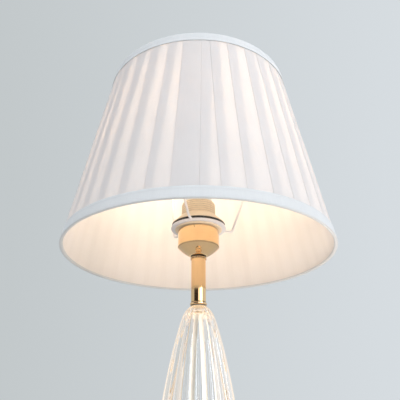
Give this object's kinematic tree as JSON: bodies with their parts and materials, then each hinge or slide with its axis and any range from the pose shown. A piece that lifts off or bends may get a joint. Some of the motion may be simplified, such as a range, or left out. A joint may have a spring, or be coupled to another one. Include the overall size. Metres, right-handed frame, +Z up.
{
  "type": "table lamp",
  "caption": "Table lamp with a slender ribbed clear glass body, a gold neck and foot, a screw-cap bulb in a threaded holder and a white knife-pleated cone shade on wire arms.",
  "frame": {"origin": "middle of the felt pad's underside, on the surface the lamp stands on", "axes": "+Z up along the rod, -Y the front that the picture shows, +Y the side with the cable inlet, +X to the right seen from the front"},
  "size_m": [0.3, 0.3, 0.586],
  "materials": {
    "polished_gold": "polished gold plate",
    "pale_gold": "satin pale gold",
    "brass": "bright stamped brass",
    "steel": "zinc plated",
    "nickel": "nickel plated",
    "cast_iron": "raw casting",
    "plate_paint": "black enamel",
    "felt": "pressed felt",
    "black_rubber": "matte",
    "clear_gasket": "translucent silicone",
    "lead_insulation": "extruded insulation",
    "clear_glass": "clear, ribbed, fire polished",
    "beige_plastic": "moulded, satin",
    "white_plastic": "moulded, satin",
    "black_washer": "moulded, matte",
    "white_ceramic": "unglazed",
    "solder": "solder",
    "black_glass": "glossy",
    "opal": "opal diffuser, lit",
    "white_paint": "white powder coat",
    "pleated_fabric": "fine plain weave, knife pleated",
    "lining_fabric": "smooth lining",
    "trim_tape": "binding tape, fine ribbed weave"
  },
  "bodies": {
    "stand": {"felt_pad": "felt", "bottom_cover": "plate_paint", "cover_screws": "steel", "base_weight": "cast_iron", "foot_shell": "polished_gold", "inlet_bush": "black_rubber", "terminal_block": "white_plastic", "terminal_block_screws": "brass", "inner_leads": "lead_insulation", "threaded_rod": "steel", "foot_nut": "steel", "foot_washer": "steel", "glass_seat": "polished_gold", "lower_gasket": "clear_gasket", "glass_body": "clear_glass", "rod_sleeve": "pale_gold", "upper_gasket": "clear_gasket", "neck_ring": "polished_gold", "neck_tube": "polished_gold", "neck_collar": "polished_gold", "holder_cup": "polished_gold", "holder_cap": "beige_plastic", "holder_shell": "beige_plastic", "holder_insert": "white_ceramic", "holder_terminals": "brass", "screw_shell": "brass", "centre_contact": "brass"},
    "shade": {"fitter_ring": "white_paint", "gimbal_arms": "white_paint", "top_ring": "white_paint", "bottom_ring": "white_paint", "shade_liner": "lining_fabric", "shade_cover": "pleated_fabric", "top_trim": "trim_tape", "bottom_trim": "trim_tape"},
    "clamp_washer": {"clamp_washer": "black_washer"},
    "shade_ring": {"shade_ring": "beige_plastic"},
    "bulb_tip": {"bulb_tip": "solder"},
    "bulb": {"bulb_insulator": "black_glass", "bulb_cap": "nickel", "bulb_housing": "white_plastic", "bulb_dome": "opal"}
  },
  "joints": [
    {"name": "shade_turn", "type": "hinge", "parent": "stand", "child": "shade", "pos_m": [0, 0, 0.397], "axis": [0, 0, 1], "continuous": true},
    {"name": "ring_lift", "type": "slide", "parent": "stand", "child": "clamp_washer", "axis": [0, 0, 1], "range_m": [0, 0.0125]},
    {"name": "ring_turn", "type": "hinge", "parent": "clamp_washer", "child": "shade_ring", "pos_m": [0, 0, 0.4006], "axis": [0, 0, 1], "range_deg": [0, 1800]},
    {"name": "bulb_lift", "type": "slide", "parent": "stand", "child": "bulb_tip", "axis": [0, 0, 1], "range_m": [0, 0.0252]},
    {"name": "bulb_turn", "type": "hinge", "parent": "bulb_tip", "child": "bulb", "pos_m": [0, 0, 0.4036], "axis": [0, 0, 1], "range_deg": [0, 2520]}
  ],
  "couplings": [
    {"joint": "ring_lift", "follows": "ring_turn", "m_per_rad": 0.00039789},
    {"joint": "bulb_lift", "follows": "bulb_turn", "m_per_rad": 0.00057296}
  ]
}
